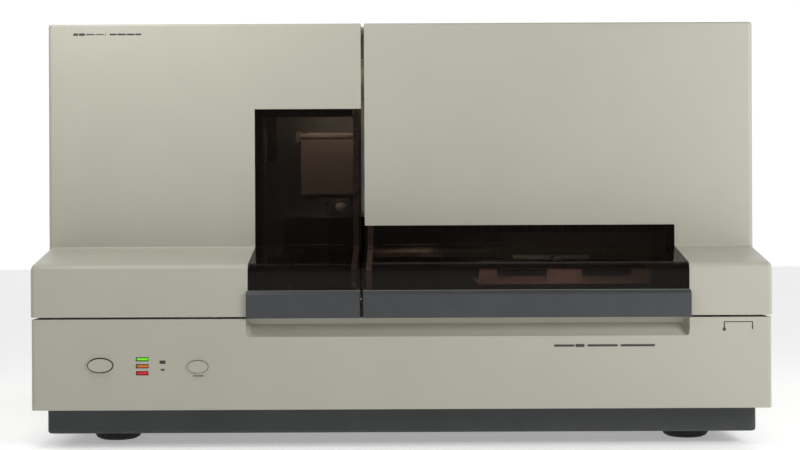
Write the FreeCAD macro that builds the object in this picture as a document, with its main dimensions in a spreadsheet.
import FreeCAD, Part
import math
import os
import re

import Sketcher

# Benchtop capillary genetic analyser: a cabinet with a plinth on four feet, a fixed lower front
# panel, and two tall front doors with bent smoked windows. Behind the doors are a capillary oven,
# a detection cell, a polymer pump and an autosampler that moves plates in X, Y and Z.
# Millimetres. Origin at the bottom centre, on the surface under the feet. The front faces -Y.

doc = FreeCAD.newDocument("genetic_analyser")
sheet = doc.addObject("Spreadsheet::Sheet", "sizes")
names = []
nodes = []


# ---------------------------------------------------------------- sizes and expressions

def sizes(**values):
    """Add driving dimensions to the spreadsheet, each with its own alias."""
    for name, number in values.items():
        names.append(name)
        row = len(names)
        sheet.set(f"A{row}", name)
        sheet.set(f"B{row}", str(number))
        sheet.setAlias(f"B{row}", name)
    doc.recompute()


def bound(text):
    """An expression in plain alias words, as one that reads the spreadsheet."""
    return re.sub(r"[a-z]\w*", lambda word: "sizes." * (word.group() in names) + word.group(), str(text))


def value(text):
    """What an expression comes to now."""
    return float(sheet.evalExpression(str(text)))


def place(thing, x, y, z):
    """Bind where an object stands."""
    for axis, text in zip("xyz", (x, y, z)):
        thing.setExpression(f"Placement.Base.{axis}", bound(text))


# ---------------------------------------------------------------- solids

def block(label, x, y, z):
    """A box between two planes on each axis."""
    solid = doc.addObject("Part::Box", label)
    for side, (low, high) in zip(("Length", "Width", "Height"), (x, y, z)):
        solid.setExpression(side, bound(f"({high}) - ({low})"))
    place(solid, x[0], y[0], z[0])
    return solid


TURNS = {
    "X": FreeCAD.Rotation(FreeCAD.Vector(0, 1, 0), 90),
    "Y": FreeCAD.Rotation(FreeCAD.Vector(1, 0, 0), -90),
    "Z": FreeCAD.Rotation(),
}


def at(axis, centre, along):
    """A point on an axis: the two coordinates across it and the one along it, as x, y, z."""
    across = list(centre)
    across.insert("XYZ".index(axis), along)
    return across


def rod(label, axis, centre, radius, span):
    """A cylinder along an axis, through the two coordinates of its centre."""
    solid = doc.addObject("Part::Cylinder", label)
    solid.Placement = FreeCAD.Placement(FreeCAD.Vector(), TURNS[axis])
    solid.setExpression("Radius", bound(radius))
    solid.setExpression("Height", bound(f"({span[1]}) - ({span[0]})"))
    place(solid, *at(axis, centre, span[0]))
    return solid


def oval(label, x, z, width, height, span):
    """An oval button or ring shape that faces the front."""
    outline = doc.addObject("Part::Ellipse", label + "_outline")
    outline.Placement = FreeCAD.Placement(FreeCAD.Vector(), FreeCAD.Rotation(FreeCAD.Vector(1, 0, 0), 90))
    outline.setExpression("MajorRadius", bound(f"({width}) / 2"))
    outline.setExpression("MinorRadius", bound(f"({height}) / 2"))
    place(outline, x, span[0], z)
    solid = doc.addObject("Part::Extrusion", label)
    solid.Base = outline
    solid.DirMode = "Custom"
    solid.Dir = FreeCAD.Vector(0, 1, 0)
    solid.Solid = True
    solid.setExpression("LengthFwd", bound(f"({span[1]}) - ({span[0]})"))
    return solid


def sketch_in(body, plane, points):
    """A closed outline on one of the body's own planes, each corner bound to the sheet."""
    sketch = body.newObject("Sketcher::SketchObject", body.Name + "_outline")
    support = [item for item in body.Origin.OriginFeatures if item.Role == plane + "_Plane"][0]
    sketch.AttachmentSupport = (support, [""])
    sketch.MapMode = "FlatFace"
    corners = [FreeCAD.Vector(value(u), value(v), 0) for u, v in points]
    count = len(points)
    for index in range(count):
        sketch.addGeometry(Part.LineSegment(corners[index], corners[(index + 1) % count]))
    for index in range(count):
        sketch.addConstraint(Sketcher.Constraint("Coincident", index, 2, (index + 1) % count, 1))
    for index, pair in enumerate(points):
        for kind, text in zip(("DistanceX", "DistanceY"), pair):
            row = sketch.addConstraint(Sketcher.Constraint(kind, -1, 1, index, 1, value(text)))
            sketch.setExpression(f"Constraints[{row}]", bound(text))
    return sketch


def prism(label, plane, points, span):
    """An outline in the XY, XZ or YZ plane, padded along the third axis over a span."""
    body = doc.addObject("PartDesign::Body", label)
    sketch = sketch_in(body, plane, points)
    start = f"-({span[1]})" if plane == "XZ" else span[0]
    sketch.setExpression("AttachmentOffset.Base.z", bound(start))
    pad = body.newObject("PartDesign::Pad", label + "_pad")
    pad.Profile = sketch
    pad.setExpression("Length", bound(f"({span[1]}) - ({span[0]})"))
    doc.recompute()
    return body


def turned(label, axis, points, centre, along):
    """An outline of (radius, height) corners turned about an axis of its own."""
    body = doc.addObject("PartDesign::Body", label)
    sketch = sketch_in(body, "XZ", points)
    spun = body.newObject("PartDesign::Revolution", label + "_turn")
    spun.Profile = sketch
    spun.ReferenceAxis = (sketch, ["V_Axis"])
    spun.Angle = 360
    body.Placement = FreeCAD.Placement(FreeCAD.Vector(), TURNS[axis])
    place(body, *at(axis, centre, along))
    doc.recompute()
    return body


def brick(label, x, y, z):
    """A box that fillets can follow."""
    body = doc.addObject("PartDesign::Body", label)
    solid = body.newObject("PartDesign::AdditiveBox", label + "_box")
    for side, (low, high) in zip(("Length", "Width", "Height"), (x, y, z)):
        solid.setExpression(side, bound(f"({high}) - ({low})"))
    place(solid, x[0], y[0], z[0])
    doc.recompute()
    return body


def rounded(body, radius, test):
    """Fillet the edges of a body that pass a test."""
    shape = body.Tip.Shape
    picked = [f"Edge{number}" for number, edge in enumerate(shape.Edges, 1) if test(edge.BoundBox)]
    if not picked:
        raise SystemExit(f"{body.Label}: no edge to round")
    fillet = body.newObject("PartDesign::Fillet", body.Name + "_round")
    fillet.Base = (body.Tip if body.Tip != fillet else fillet.BaseFeature, picked)
    fillet.setExpression("Radius", bound(radius))
    doc.recompute()
    return body


def near(number, text):
    """Whether a number is where an expression says."""
    return abs(number - value(text)) < 0.01


def cut(label, base, *tools):
    """A solid with others taken away from it."""
    for tool in tools:
        result = doc.addObject("Part::Cut", label)
        result.Base = base
        result.Tool = tool
        base = result
    return base


def fuse(label, *pieces):
    """One solid from several."""
    result = doc.addObject("Part::MultiFuse", label)
    result.Shapes = list(pieces)
    result.Refine = True
    return result


def node(label, *pieces):
    """Name a sub-part: one solid, or a group of separate solids."""
    if len(pieces) == 1:
        item = pieces[0]
    else:
        item = doc.addObject("Part::Compound", label)
        item.Links = list(pieces)
    item.Label = label
    nodes.append(item)
    return item


# ---------------------------------------------------------------- overall sizes

sizes(
    overall_width=740, overall_depth=610, overall_height=435,
    skin=3, seam=2, edge_round=4, thin_sheet=2,
    handle_proud=4, guard_proud=5, top_step=1,
    foot_height=12.5, plinth_height=26, lower_panel_height=90.5,
    panel_inset=1, lower_face_height=52, shoulder_rise=16, shoulder_depth=81.5,
    door_depth=29.5, cover_gap=4, bend_outside=8, bend_inside=2,
)

HALF = "(overall_width / 2)"
FACE = "(handle_proud - overall_depth / 2)"
REAR = "(overall_depth / 2 - guard_proud)"
TOP = "overall_height"
PLINTH_TOP = "(foot_height + plinth_height)"
FLOOR_TOP = f"({PLINTH_TOP} + thin_sheet)"
DECK_TOP = f"({PLINTH_TOP} + lower_panel_height)"
DOOR_LOW = f"({DECK_TOP} + seam)"
DOOR_HIGH = "(overall_height - top_step)"
SHOULDER_LOW = f"({DOOR_LOW} + lower_face_height)"
SHOULDER_HIGH = f"({SHOULDER_LOW} + shoulder_rise)"
UPPER_FACE = f"({FACE} + shoulder_depth)"
DOOR_BACK = f"({UPPER_FACE} + door_depth)"
COVER_FRONT = f"({DOOR_BACK} + cover_gap)"
COVER_TOP = "(overall_height - skin)"
MITRE = "((sqrt(shoulder_depth^2 + shoulder_rise^2) - shoulder_rise) / shoulder_depth)"


# ---------------------------------------------------------------- base

sizes(
    foot_radius=26, foot_toe=22, foot_spread=297, foot_front=81, foot_rear=70,
    foot_recess=8, foot_recess_depth=6, screw_shank=2, screw_fit=0.2,
    screw_head=5.5, screw_head_depth=3, screw_through=5,
    plinth_inset=12, plinth_front=20, plinth_rear=20, plinth_round=6, plinth_hem=3,
)

FLOOR_SIDE = f"({HALF} - panel_inset - skin)"
FOOT_PLACES = [(side + "foot_spread", along) for side in ("-", "")
               for along in (f"{FACE} + foot_front", f"{REAR} - foot_rear")]
PLINTH_SIDE = f"({HALF} - plinth_inset)"


def feet():
    """Rubber feet with a recess underneath for the screw."""
    outline = [
        ("screw_shank + screw_fit", "foot_recess_depth"), ("foot_recess", "foot_recess_depth"),
        ("foot_recess", 0), ("foot_toe - edge_round", 0), ("foot_toe", "edge_round / 2"),
        ("foot_radius", "foot_height - edge_round"), ("foot_radius", "foot_height"),
        ("screw_shank + screw_fit", "foot_height"),
    ]
    node("rubber_feet", *[turned("foot", "Z", outline, spot, 0) for spot in FOOT_PLACES])


def base_plinth():
    """A folded steel tray with a hole for each foot screw."""
    tray = brick("plinth_outside", (f"-{PLINTH_SIDE}", PLINTH_SIDE),
                 (f"{FACE} + plinth_front", f"{REAR} - plinth_rear"), ("foot_height", PLINTH_TOP))
    rounded(tray, "plinth_round", lambda box: box.ZLength > value("plinth_height") - 0.1)
    rounded(tray, "plinth_hem", lambda box: near(box.ZMax, "foot_height"))
    inside = block("plinth_inside",
                   (f"thin_sheet - {PLINTH_SIDE}", f"{PLINTH_SIDE} - thin_sheet"),
                   (f"{FACE} + plinth_front + thin_sheet", f"{REAR} - plinth_rear - thin_sheet"),
                   ("foot_height + thin_sheet", f"{PLINTH_TOP} + 1"))
    holes = [rod("plinth_hole", "Z", spot, "screw_shank + screw_fit",
                 ("foot_height - 1", "foot_height + thin_sheet + 1")) for spot in FOOT_PLACES]
    node("base_plinth", cut("plinth", tray, inside, *holes))


def chassis_floor():
    """The flat floor of the cabinet, on the plinth."""
    node("chassis_floor", block("floor", (f"-{FLOOR_SIDE}", FLOOR_SIDE),
                                (f"{FACE} + plinth_front", f"{REAR} - skin"), (PLINTH_TOP, FLOOR_TOP)))


# ---------------------------------------------------------------- covers

sizes(
    vent_length=46, vent_height=4, vent_pitch=11, vent_from_rear=90, vent_base=170,
    fan_x=205, fan_z=330, fan_hole=41, inlet_x=-262, inlet_z=84, inlet_wide=30, inlet_high=23,
    switch_x=-212, switch_wide=16, switch_high=24, port_x=-120, port_pitch=34, port_wide=17, port_high=14,
    panel_side_depth=31, cover_round=2,
)

VENTS = 8
PORTS = 2
SIDE_FRONT = f"({FACE} + panel_side_depth + seam)"


def vent(label, side, row):
    """One slot through a side cover, near the back."""
    low = f"vent_base + {row} * vent_pitch"
    skin = (f"-{HALF} - 1", f"skin + 1 - {HALF}") if side == "left" else (f"{HALF} - skin - 1", f"{HALF} + 1")
    return block(label, skin, (f"{REAR} - vent_from_rear - vent_length", f"{REAR} - vent_from_rear"),
                 (low, f"{low} + vent_height"))


def side_cover(side):
    """A flat side cover, stepped where the door's side meets it, with vents."""
    outline = [
        (SIDE_FRONT, PLINTH_TOP), (REAR, PLINTH_TOP), (REAR, COVER_TOP),
        (COVER_FRONT, COVER_TOP), (COVER_FRONT, DECK_TOP), (SIDE_FRONT, DECK_TOP),
    ]
    span = (f"-{HALF}", f"skin - {HALF}") if side == "left" else (f"{HALF} - skin", HALF)
    cover = prism(f"{side}_cover_sheet", "YZ", outline, span)
    vents = [vent(f"{side}_vent", side, row) for row in range(VENTS)]
    node(f"{side}_side_cover", cut(f"{side}_cover", cover, *vents))


def top_cover():
    """The flat lid of the cabinet, rounded along its outer edges."""
    lid = brick("lid", (f"-{HALF}", HALF), (COVER_FRONT, REAR), (COVER_TOP, TOP))
    rounded(lid, "cover_round", lambda box: near(box.ZMin, TOP))
    node("top_cover", lid)


def rear_panel():
    """The back sheet, with openings for the fan, the inlet, the switch and the ports."""
    panel = block("rear_sheet", (f"skin - {HALF}", f"{HALF} - skin"), (f"{REAR} - skin", REAR),
                  (PLINTH_TOP, COVER_TOP))
    through = (f"{REAR} - skin - 1", f"{REAR} + 1")
    holes = [
        rod("fan_opening", "Y", ("fan_x", "fan_z"), "fan_hole", through),
        block("inlet_opening", ("inlet_x - inlet_wide / 2", "inlet_x + inlet_wide / 2"), through,
              ("inlet_z - inlet_high / 2", "inlet_z + inlet_high / 2")),
        block("switch_opening", ("switch_x - switch_wide / 2", "switch_x + switch_wide / 2"), through,
              ("inlet_z - switch_high / 2", "inlet_z + switch_high / 2")),
    ]
    for index in range(PORTS):
        middle = f"port_x + {index} * port_pitch"
        holes.append(block("port_opening", (f"{middle} - port_wide / 2", f"{middle} + port_wide / 2"),
                           through, ("inlet_z - port_high / 2", "inlet_z + port_high / 2")))
    for row in range(VENTS):
        low = f"vent_base + {row} * vent_pitch"
        holes.append(block("rear_vent", ("-2 * vent_length", "vent_length"), through,
                           (low, f"{low} + vent_height")))
    node("rear_panel", cut("rear", panel, *holes))


# ---------------------------------------------------------------- lower front panel and its controls

sizes(
    recess_left=-155, recess_right=287, recess_height=18, recess_depth=14, recess_lip=3,
    recess_backing=18, recess_margin=8, recess_round=6,
    power_in=70.1, power_z=83.3, power_wide=24, power_high=13, power_ring=1.5, ring_proud=0.4,
    tray_in=167.2, tray_z=81.7, tray_wide=20, tray_high=12, tray_ring=1,
    power_button_gap=1.2, tray_button_gap=0.5, flange_fit=0.3,
    button_depth=9, power_proud=2.5, tray_proud=2,
    lamp_in=111.7, lamp_z=75.4, lamp_pitch=6.95, lamp_wide=12.5, lamp_high=4, lamp_proud=0.5,
)

LAMPS = 3
POWER_X = f"(power_in - {HALF})"
TRAY_X = f"(tray_in - {HALF})"
LAMP_X = f"(lamp_in - {HALF})"
PANEL_SIDE = f"({HALF} - panel_inset)"
PANEL_INSIDE = f"({FACE} + skin)"
RECESS_LOW = f"({DECK_TOP} - recess_height)"


def finger_recess():
    """The scoop under the door grips: deep at the top, shallow at its lower lip."""
    outline = [
        (f"{FACE} - 1", f"{DECK_TOP} + 1"), (f"{FACE} + recess_depth", f"{DECK_TOP} + 1"),
        (f"{FACE} + recess_depth", f"{DECK_TOP} - recess_height / 3"),
        (f"{FACE} + recess_lip", RECESS_LOW), (f"{FACE} - 1", RECESS_LOW),
    ]
    scoop = prism("scoop", "YZ", outline, ("recess_left", "recess_right"))
    ends = ("recess_left", "recess_right")
    rounded(scoop, "recess_round", lambda box: (
        box.XLength < 0.01 and any(near(box.XMin, end) for end in ends)
        and box.YMax > value(f"{FACE} + recess_lip") - 0.01 and box.ZMax < value(DECK_TOP) + 1.1
        and box.YMin > value(FACE) - 0.5))
    return scoop


def lower_front_panel():
    """A thick moulded panel with returns at both ends, a finger recess and its control openings."""
    shell = brick("panel_outside", (f"-{PANEL_SIDE}", PANEL_SIDE), (FACE, f"{FACE} + panel_side_depth"),
                  (PLINTH_TOP, DECK_TOP))
    rounded(shell, "edge_round", lambda box: box.ZLength > 1 and near(box.YMax, FACE))
    hollow = block("panel_hollow", (f"skin - {PANEL_SIDE}", f"{PANEL_SIDE} - skin"),
                   (PANEL_INSIDE, f"{FACE} + panel_side_depth + 1"),
                   (f"{PLINTH_TOP} + skin", f"{DECK_TOP} + 1"))
    floor_room = block("panel_floor_room", (f"skin - {PANEL_SIDE}", f"{PANEL_SIDE} - skin"),
                       (f"{FACE} + plinth_front", f"{FACE} + panel_side_depth + 1"),
                       (f"{PLINTH_TOP} - 1", f"{PLINTH_TOP} + skin + 1"))
    backing = block("recess_backing_block",
                    ("recess_left - recess_margin", "recess_right + recess_margin"),
                    (f"{PANEL_INSIDE} - 1", f"{FACE} + recess_backing"),
                    (f"{RECESS_LOW} - recess_margin", DECK_TOP))
    rings = []
    for label, x, z, wide, high, ring in (
            ("power", POWER_X, "power_z", "power_wide", "power_high", "power_ring"),
            ("tray", TRAY_X, "tray_z", "tray_wide", "tray_high", "tray_ring")):
        rings.append(oval(f"{label}_ring_rim", x, z, f"{wide} + 4 * {ring}", f"{high} + 4 * {ring}",
                          (f"{FACE} - ring_proud", f"{FACE} + 1")))
    body = fuse("panel_body", cut("panel_shell", shell, hollow, floor_room), backing, *rings)
    holes = [finger_recess()]
    for label, x, z, wide, high, gap in (
            ("power", POWER_X, "power_z", "power_wide", "power_high", "power_button_gap"),
            ("tray", TRAY_X, "tray_z", "tray_wide", "tray_high", "tray_button_gap")):
        holes.append(oval(f"{label}_hole", x, z, f"{wide} + 2 * {gap}", f"{high} + 2 * {gap}",
                          (f"{FACE} - 5", f"{PANEL_INSIDE} + 1")))
    for index in range(LAMPS):
        middle = f"lamp_z + {index} * lamp_pitch"
        holes.append(block("lamp_hole", (f"{LAMP_X} - lamp_wide / 2", f"{LAMP_X} + lamp_wide / 2"),
                           (f"{FACE} - 1", f"{PANEL_INSIDE} + 1"),
                           (f"{middle} - lamp_high / 2", f"{middle} + lamp_high / 2")))
    node("lower_front_panel", cut("panel", body, *holes))


def status_lenses():
    """Three small light bars, one above the other."""
    lenses = []
    for index in range(LAMPS):
        middle = f"lamp_z + {index} * lamp_pitch"
        lens = brick("lens", (f"{LAMP_X} - lamp_wide / 2", f"{LAMP_X} + lamp_wide / 2"),
                     (f"{FACE} - lamp_proud", f"{PANEL_INSIDE} + thin_sheet"),
                     (f"{middle} - lamp_high / 2", f"{middle} + lamp_high / 2"))
        lenses.append(rounded(lens, "lamp_proud / 2", lambda box: near(box.YMax, f"{FACE} - lamp_proud")))
    node("status_lenses", *lenses)


def push_button(label, x, z, wide, high, proud, gap):
    """An oval cap that slides in its hole, with a flange behind the panel and a stem."""
    cap = oval(f"{label}_cap", x, z, wide, high, (f"{FACE} - {proud}", f"{FACE} + skin + seam"))
    flange = oval(f"{label}_flange", x, z, f"{wide} + 2 * {gap} + 2 * seam", f"{high} + 2 * {gap} + 2 * seam",
                  (f"{PANEL_INSIDE} + flange_fit", f"{PANEL_INSIDE} + seam"))
    stem = rod(f"{label}_stem", "Y", (x, z), "screw_shank", (f"{PANEL_INSIDE} + 1", f"{FACE} + button_depth"))
    node(label, fuse(f"{label}_body", cap, flange, stem))


# ---------------------------------------------------------------- frame

sizes(
    frame_inset=18, frame_from_door=10, bay_depth=208, aperture_left=-142,
    aperture_high=103, post_x=-50, post_wide=19, post_depth=34, post_base=106, deck_from_rear=150,
    catch_wide=14, catch_high=16, catch_low_z=356, catch_top_gap=36, catch_gap=0.5,
    flange_depth=20, window_flange=18, window_frame_wide=16, meeting_post=5.5,
    hinge_inset=6, hinge_back=4, pin_radius=2.5, pin_fit=0.1, knuckle=4.6, knuckle_height=24,
    hinge_low=24, hinge_top=30, hinge_plate=3, hinge_gap=0.5, hinge_arm_back=1.5, hinge_root=4,
)

FRAME_OUT = f"({HALF} - frame_inset)"
FRAME_IN = f"({FRAME_OUT} - thin_sheet)"
FRAME_FRONT = f"({DOOR_BACK} + frame_from_door)"
BULKHEAD = f"({DOOR_BACK} + bay_depth)"
APERTURE_TOP = f"({DECK_TOP} + aperture_high)"
PIN_X = f"({HALF} - hinge_inset)"
PIN_Y = f"({DOOR_BACK} - hinge_back)"
HINGE_HEIGHTS = [f"({DOOR_LOW} + hinge_low)", f"({DOOR_HIGH} - hinge_top)"]


def frame():
    """Upright sheet walls, the bulkhead between the bays, the deck and the centre post."""
    walls_y = (FRAME_FRONT, f"{REAR} - skin")
    heights = (FLOOR_TOP, COVER_TOP)
    node("left_frame_wall", block("left_wall", (f"-{FRAME_OUT}", f"-{FRAME_IN}"), walls_y, heights))
    node("right_frame_wall", block("right_wall", (FRAME_IN, FRAME_OUT), walls_y, heights))
    thick = (BULKHEAD, f"{BULKHEAD} + thin_sheet")
    node(
        "bulkhead",
        block("bulkhead_left", (f"-{FRAME_IN}", "aperture_left"), thick, (DECK_TOP, COVER_TOP)),
        block("bulkhead_top", ("aperture_left", FRAME_IN), thick, (APERTURE_TOP, COVER_TOP)),
        block("bulkhead_right", (f"{FRAME_IN} - thin_sheet", FRAME_IN), thick, (DECK_TOP, APERTURE_TOP)),
        block("bulkhead_base", (f"-{FRAME_IN}", FRAME_IN), thick, (FLOOR_TOP, f"{DECK_TOP} - thin_sheet")),
    )
    node("sample_deck", block("deck", (f"-{FRAME_IN}", FRAME_IN),
                              (f"{FACE} + recess_backing", f"{REAR} - deck_from_rear"),
                              (f"{DECK_TOP} - thin_sheet", DECK_TOP)))
    node("centre_post", block("post", ("post_x", "post_x + post_wide"),
                              (COVER_FRONT, f"{COVER_FRONT} + post_depth"),
                              (f"{DECK_TOP} + post_base", COVER_TOP)))


def door_catches():
    """Two magnetic catches that both doors close against."""
    front = f"{UPPER_FACE} + flange_depth + catch_gap"
    spots = ("catch_low_z", f"{TOP} - catch_top_gap")
    node("door_catches", *[
        block("catch", ("post_x", "post_x + catch_wide"), (front, COVER_FRONT), (low, f"{low} + catch_high"))
        for low in spots])


def hinge_bracket(side, height):
    """A fixed pin between two cranked plates that reach forward from the frame wall.

    The plates go inwards before they go back, so the door's rear edge can turn behind the pin."""
    sign = "-" if side == "left" else ""

    def across(near_side, far_side):
        x = (f"{sign}({near_side})", f"{sign}({far_side})")
        return x[::-1] if side == "left" else x

    reach = f"(knuckle_height / 2 + hinge_gap)"
    plates = []
    for low in (f"{height} - {reach} - hinge_plate", f"{height} + {reach}"):
        band = (low, f"{low} + hinge_plate")
        plates.append(block("hinge_arm", across(FRAME_IN, f"{PIN_X} + pin_radius"),
                            (f"{PIN_Y} - pin_radius", f"{PIN_Y} + hinge_arm_back"), band))
        plates.append(block("hinge_root", across(FRAME_IN, f"{FRAME_OUT} + hinge_root"),
                            (f"{PIN_Y} - pin_radius", f"{FRAME_FRONT}"), band))
    pin = rod("hinge_pin", "Z", (f"{sign}{PIN_X}", PIN_Y), "pin_radius",
              (f"{height} - {reach}", f"{height} + {reach}"))
    return fuse(f"{side}_bracket", pin, *plates)


# ---------------------------------------------------------------- doors

sizes(
    door_split=-39.75, door_gap=3.5, bottom_return=26, side_round=5,
    window_low=26, left_window_wide=111.5, left_window_high=187,
    right_window_wide=325, right_window_high=64.4,
    grip_drop=1.5, grip_chamfer=4, grip_overhang=1.5, grip_lip=3,
)

WINDOW_LOW = f"({DOOR_LOW} + window_low)"
FREE_EDGE = {"left": "(door_split - door_gap / 2)", "right": "(door_split + door_gap / 2)"}


def door_line(inset, low, high):
    """The doors' outer line, set inwards by a distance: (y, z) corners from low to high."""
    return [
        (f"{FACE} + {inset}", low),
        (f"{FACE} + {inset}", f"{SHOULDER_LOW} - {inset} * {MITRE}"),
        (f"{UPPER_FACE} + {inset}", f"{SHOULDER_HIGH} - {inset} * {MITRE}"),
        (f"{UPPER_FACE} + {inset}", high),
    ]


def round_bends(body, inset):
    """Round the two bends of the door line at one depth in the sheet."""
    for y, z, radius in ((FACE, SHOULDER_LOW, f"bend_outside - {inset}"),
                         (UPPER_FACE, SHOULDER_HIGH, f"bend_inside + {inset}")):
        rounded(body, radius, lambda box: (
            box.YLength < 0.01 and box.ZLength < 0.01 and near(box.YMin, f"{y} + {inset}")
            and near(box.ZMin, f"{z} - {inset} * {MITRE}")))


def bent_sheet(label, outside, inside, low, high, span):
    """A sheet that follows the door line between two depths."""
    points = door_line(outside, low, high) + door_line(inside, low, high)[::-1]
    body = prism(label, "YZ", points, span)
    for inset in (outside, inside):
        if value(inset) < value("bend_outside"):
            round_bends(body, inset)
    return body


def outward(side, start, end):
    """A span along X from the free edge out towards the hinge, in rising order."""
    edge = FREE_EDGE[side]
    if side == "left":
        return (f"{edge} - ({end})", f"{edge} - ({start})")
    return (f"{edge} + {start}", f"{edge} + {end}")


def door_shell(side, window_wide, window_high):
    """A moulded shell: front skin, top, side and bottom returns, a free-edge flange and knuckles."""
    edge = FREE_EDGE[side]
    wide = f"({edge} + {HALF})" if side == "left" else f"({HALF} - {edge})"
    hinge_side = f"-{HALF}" if side == "left" else HALF
    full = outward(side, 0, wide)
    section = door_line(0, DOOR_LOW, DOOR_HIGH) + [(DOOR_BACK, DOOR_HIGH), (DOOR_BACK, DOOR_LOW)]
    shell = prism(f"{side}_door_outside", "YZ", section, full)
    round_bends(shell, 0)
    rounded(shell, "side_round", lambda box: box.XLength < 0.01 and near(box.XMin, hinge_side)
            and box.YMax < value(DOOR_BACK) - 0.1)
    rounded(shell, "side_round / 2", lambda box: (
        box.XLength > 10 and near(box.ZMin, DOOR_HIGH) and near(box.YMin, UPPER_FACE)
        and box.YLength < 0.01))
    inside = f"{DOOR_BACK} + 1"
    hollow = prism(f"{side}_door_hollow", "YZ",
                   door_line("skin", f"{DOOR_LOW} + skin", f"{DOOR_HIGH} - skin")
                   + [(inside, f"{DOOR_HIGH} - skin"), (inside, f"{DOOR_LOW} + skin")],
                   outward(side, "skin", f"{wide} - skin"))
    round_bends(hollow, "skin")
    through = outward(side, -1, f"{wide} - skin")
    flange = outward(side, -1, "skin + 1")
    tools = [
        block("behind_bottom_return", through, (f"{FACE} + bottom_return", inside),
              (f"{DOOR_LOW} - 1", f"{DOOR_LOW} + skin + 1")),
        block("behind_flange", flange, (f"{UPPER_FACE} + flange_depth", inside),
              (f"{DOOR_LOW} - 1", f"{DOOR_HIGH} - skin")),
        block("behind_low_flange", flange, (f"{FACE} + flange_depth", inside),
              (f"{DOOR_LOW} - 1", WINDOW_LOW)),
        block("window_opening", outward(side, -1, window_wide), (f"{FACE} - 1", inside),
              (WINDOW_LOW, f"{WINDOW_LOW} + {window_high}")),
    ]
    skin = cut(f"{side}_door_skin", shell, hollow, *tools)
    pin_x = f"-{PIN_X}" if side == "left" else PIN_X
    spans = [(f"{height} - knuckle_height / 2", f"{height} + knuckle_height / 2")
             for height in HINGE_HEIGHTS]
    knuckles = [rod("knuckle", "Z", (pin_x, PIN_Y), "knuckle", span) for span in spans]
    bores = [rod("knuckle_bore", "Z", (pin_x, PIN_Y), "pin_radius + pin_fit",
                 (f"{span[0]} - 1", f"{span[1]} + 1")) for span in spans]
    reliefs = [block("hinge_relief", outward(side, f"{wide} - skin", f"{wide} - skin + knuckle"),
                     (DOOR_BACK, inside), span) for span in spans]
    node(f"{side}_door_shell", cut(f"{side}_door", fuse(f"{side}_door_fused", skin, *knuckles),
                                   *bores, *reliefs))


def door_window(side, window_wide, window_high):
    """A bent smoked sheet with a flange turned back along the free edge."""
    high = f"{WINDOW_LOW} + {window_high}"
    face = bent_sheet(f"{side}_pane", "0", "skin", WINDOW_LOW, high, outward(side, 0, window_wide))
    edge = bent_sheet(f"{side}_pane_edge", "0", "window_flange", WINDOW_LOW, high,
                      outward(side, 0, "skin"))
    node(f"{side}_door_window", fuse(f"{side}_window", face, edge))


def window_frame(side, window_wide, window_high):
    """A bent bar behind each upright edge of the window and a flat bar behind its top edge."""
    high = f"{WINDOW_LOW} + {window_high}"
    top = f"{high} + window_frame_wide / 2"
    post = bent_sheet(f"{side}_frame_post", "skin", "2 * skin", f"{DOOR_LOW} + skin", top,
                      outward(side, f"{window_wide} - window_frame_wide / 2",
                              f"{window_wide} + window_frame_wide / 2"))
    bar = block(f"{side}_frame_bar", outward(side, "skin", f"{window_wide} - window_frame_wide / 2"),
                (f"{UPPER_FACE} + skin", f"{UPPER_FACE} + 2 * skin"),
                (f"{high} - window_frame_wide / 2", top))
    meeting = bent_sheet(f"{side}_meeting_post", "skin", "2 * skin", f"{DOOR_LOW} + skin", top,
                         outward(side, "skin", "skin + meeting_post"))
    node(f"{side}_window_frame", fuse(f"{side}_frame_body", post, bar, meeting))


def door_handle(side, window_wide):
    """A grip strip over the skin below the window, with a lip under the door's lower edge."""
    outline = [
        (FACE, WINDOW_LOW), (f"{FACE} - handle_proud", f"{WINDOW_LOW} - grip_chamfer"),
        (f"{FACE} - handle_proud", f"{DOOR_LOW} - grip_drop"),
        (f"{FACE} + grip_lip", f"{DOOR_LOW} - grip_drop"),
        (f"{FACE} + grip_lip", DOOR_LOW), (FACE, DOOR_LOW),
    ]
    strip = prism(f"{side}_grip", "YZ", outline, outward(side, 0, f"{window_wide} + grip_overhang"))
    rounded(strip, "grip_drop / 2", lambda box: (
        box.XLength > 10 and near(box.ZMin, f"{DOOR_LOW} - grip_drop")
        and near(box.YMax, f"{FACE} - handle_proud")))
    node(f"{side}_door_handle", strip)


# ---------------------------------------------------------------- oven

sizes(
    oven_left=-28, oven_side_gap=40, oven_base=111, oven_top_gap=15, oven_wall=12, oven_front=24,
    oven_back=168, oven_door_thick=13, oven_door_gap=2, oven_hinge=3, oven_pin=2,
    gasket_wide=6, gasket_thick=1.5, latch_radius=11, latch_length=9, latch_in=22, latch_z=96,
    heater_wide=180, heater_high=24, heater_deep=20, oven_fan_radius=34, oven_fan_depth=14,
    oven_fan_out=46, blade_thick=2, hub_radius=12, fan_shaft=3,
)

OVEN_RIGHT = f"({HALF} - oven_side_gap)"
OVEN_LOW = f"({DECK_TOP} + oven_base)"
OVEN_HIGH = f"({TOP} - oven_top_gap)"
OVEN_FRONT = f"({DOOR_BACK} + oven_front + oven_door_thick + gasket_thick)"
OVEN_BACK = f"({DOOR_BACK} + oven_front + oven_back)"
OVEN_FACE = f"({DOOR_BACK} + oven_front)"
OVEN_PIN_X = f"({OVEN_RIGHT} + oven_hinge)"
OVEN_PIN_Y = f"({OVEN_FACE} + oven_door_thick / 2)"
OVEN_HINGES = [(f"({OVEN_LOW} + oven_wall)", f"({OVEN_LOW} + 2 * oven_wall)"),
               (f"({OVEN_HIGH} - 2 * oven_wall)", f"({OVEN_HIGH} - oven_wall)")]
OVEN_FAN_X = f"(({OVEN_RIGHT} + oven_left) / 2)"
OVEN_FAN_Z = f"(({OVEN_LOW} + {OVEN_HIGH}) / 2)"
BLADES = 7
BLADE_LEAN = 30
BLADE_PHASE = 0.5


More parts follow.
